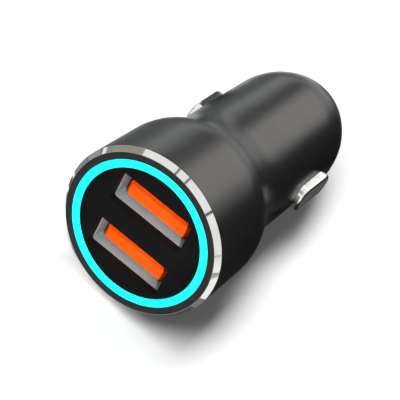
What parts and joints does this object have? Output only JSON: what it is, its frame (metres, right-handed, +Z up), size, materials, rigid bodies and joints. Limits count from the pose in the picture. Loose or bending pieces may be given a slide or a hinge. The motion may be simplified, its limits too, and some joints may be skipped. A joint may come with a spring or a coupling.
{
  "type": "car usb charger plug",
  "caption": "Round charger plug for a car accessory socket, with a lit ring round stacked USB-A ports, a flared head and sprung side and tip contacts.",
  "frame": {"origin": "centre of the front face, on the plug axis", "axes": "+Y along the plug axis from the face to the tip, +X towards the right-hand side contact, +Z up across the stacked ports"},
  "size_m": [0.0265, 0.0562, 0.0266],
  "materials": {
    "shell_black": "satin black coating over turned aluminium",
    "bright_trim": "bright cut bevel",
    "ring_light": "clear sleeve lit cyan from behind",
    "face_black": "fine satin black",
    "port_metal": "nickel-plated sheet",
    "port_orange": "orange moulding",
    "pin_gold": "gold flash",
    "contact_chrome": "bright nickel plate",
    "board_green": "lacquered glass-fibre board",
    "lamp_clear": "clear lamp",
    "ferrite": "fired ferrite",
    "copper_wire": "lacquered copper",
    "can_metal": "drawn can",
    "chip_black": "moulded package",
    "ceramic_tan": "ceramic chip",
    "fuse_body": "ceramic fuse",
    "carrier_grey": "moulded nylon",
    "nose_black": "moulded heat-resistant plastic",
    "spring_steel": "spring temper",
    "terminal_brass": "stamped"
  },
  "bodies": {
    "plug": {"shell": "shell_black", "trim_ring": "bright_trim", "light_ring": "ring_light", "face_plate": "face_black", "usb_shell_upper": "port_metal", "usb_shell_lower": "port_metal", "usb_insulator_upper": "port_orange", "usb_insulator_lower": "port_orange", "usb_pins_upper": "pin_gold", "usb_pins_lower": "pin_gold", "usb_board": "board_green", "ring_leds": "lamp_clear", "main_board": "board_green", "inductor_core": "ferrite", "inductor_winding": "copper_wire", "input_capacitor": "can_metal", "output_capacitor": "can_metal", "rectifier_diode": "chip_black", "controller_chip": "chip_black", "port_chip": "chip_black", "ceramic_capacitors": "ceramic_tan", "fuse": "fuse_body", "contact_carrier": "carrier_grey", "ground_spring_right": "spring_steel", "ground_spring_left": "spring_steel", "nose_bush": "nose_black", "tip_spring": "spring_steel", "tip_terminal": "terminal_brass"},
    "tip": {"tip_contact": "contact_chrome"},
    "contact_right": {"side_contact_right": "contact_chrome"},
    "contact_left": {"side_contact_left": "contact_chrome"}
  },
  "joints": [
    {"name": "tip_press", "type": "slide", "parent": "plug", "child": "tip", "axis": [0, -1, 0], "range_m": [0, 0.0025], "stiffness_N_per_m": 400, "springref_m": -0.003, "deforming": ["tip_spring"]},
    {"name": "contact_right_press", "type": "slide", "parent": "plug", "child": "contact_right", "axis": [-1, 0, 0], "range_m": [0, 0.00105], "stiffness_N_per_m": 2000, "springref_m": -0.001, "deforming": ["ground_spring_right"]},
    {"name": "contact_left_press", "type": "slide", "parent": "plug", "child": "contact_left", "axis": [1, 0, 0], "range_m": [0, 0.00105], "stiffness_N_per_m": 2000, "springref_m": -0.001, "deforming": ["ground_spring_left"]}
  ]
}
